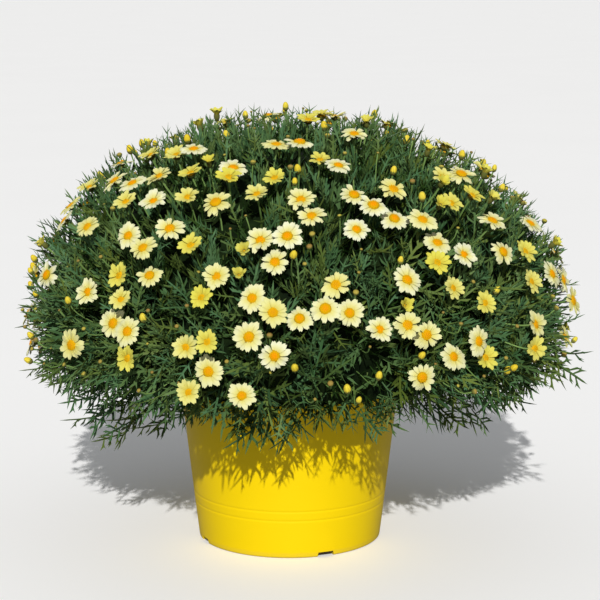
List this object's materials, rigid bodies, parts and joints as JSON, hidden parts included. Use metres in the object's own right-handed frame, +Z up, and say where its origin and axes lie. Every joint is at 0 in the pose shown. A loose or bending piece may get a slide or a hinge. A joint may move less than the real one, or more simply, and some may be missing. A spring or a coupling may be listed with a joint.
{
  "type": "potted marguerite daisy",
  "caption": "A bushy marguerite daisy with cut green leaves and pale lemon blooms, growing in a tapered yellow plastic nursery pot that stands on its flat base.",
  "frame": {"origin": "on the pot's axis, on the flat underside of the pot that it stands on", "axes": "+Z up along the pot's axis, -Y towards the side of the plant that the picture shows, +X to the right of that view"},
  "size_m": [0.6945, 0.6938, 0.5643],
  "materials": {
    "yellow_plastic": "satin",
    "potting_soil": "matte",
    "woody_stem": "matte",
    "leaves": "matte",
    "petals": "matte"
  },
  "bodies": {
    "root": {"pot": "yellow_plastic", "potting_soil": "potting_soil", "woody_stem": "woody_stem", "leafy_crown": "leaves", "leafy_branch_1": "leaves", "leafy_branch_2": "leaves", "leafy_branch_3": "leaves", "leafy_branch_4": "leaves", "leafy_branch_5": "leaves", "leafy_branch_6": "leaves", "leafy_branch_7": "leaves", "leafy_branch_8": "leaves", "flower_spray_01": "petals", "flower_spray_02": "petals", "flower_spray_03": "petals", "flower_spray_04": "petals", "flower_spray_05": "petals", "flower_spray_06": "petals", "flower_spray_07": "petals", "flower_spray_08": "petals", "flower_spray_09": "petals", "flower_spray_10": "petals", "flower_spray_11": "petals", "flower_spray_12": "petals", "flower_spray_13": "petals", "flower_spray_14": "petals", "flower_spray_15": "petals", "flower_spray_16": "petals", "flower_spray_17": "petals", "flower_spray_18": "petals", "flower_spray_19": "petals", "flower_spray_20": "petals", "flower_spray_21": "petals", "flower_spray_22": "petals", "flower_spray_23": "petals", "flower_spray_24": "petals", "flower_spray_25": "petals", "flower_spray_26": "petals", "flower_spray_27": "petals", "flower_spray_28": "petals", "flower_spray_29": "petals", "flower_spray_30": "petals", "flower_spray_31": "petals", "flower_spray_32": "petals", "flower_spray_33": "petals", "flower_spray_34": "petals", "flower_spray_35": "petals", "flower_spray_36": "petals", "flower_spray_37": "petals", "flower_spray_38": "petals", "flower_spray_39": "petals", "flower_spray_40": "petals", "flower_spray_41": "petals", "flower_spray_42": "petals", "flower_spray_43": "petals", "flower_spray_44": "petals", "flower_spray_45": "petals", "flower_spray_46": "petals", "flower_spray_47": "petals"}
  },
  "joints": []
}
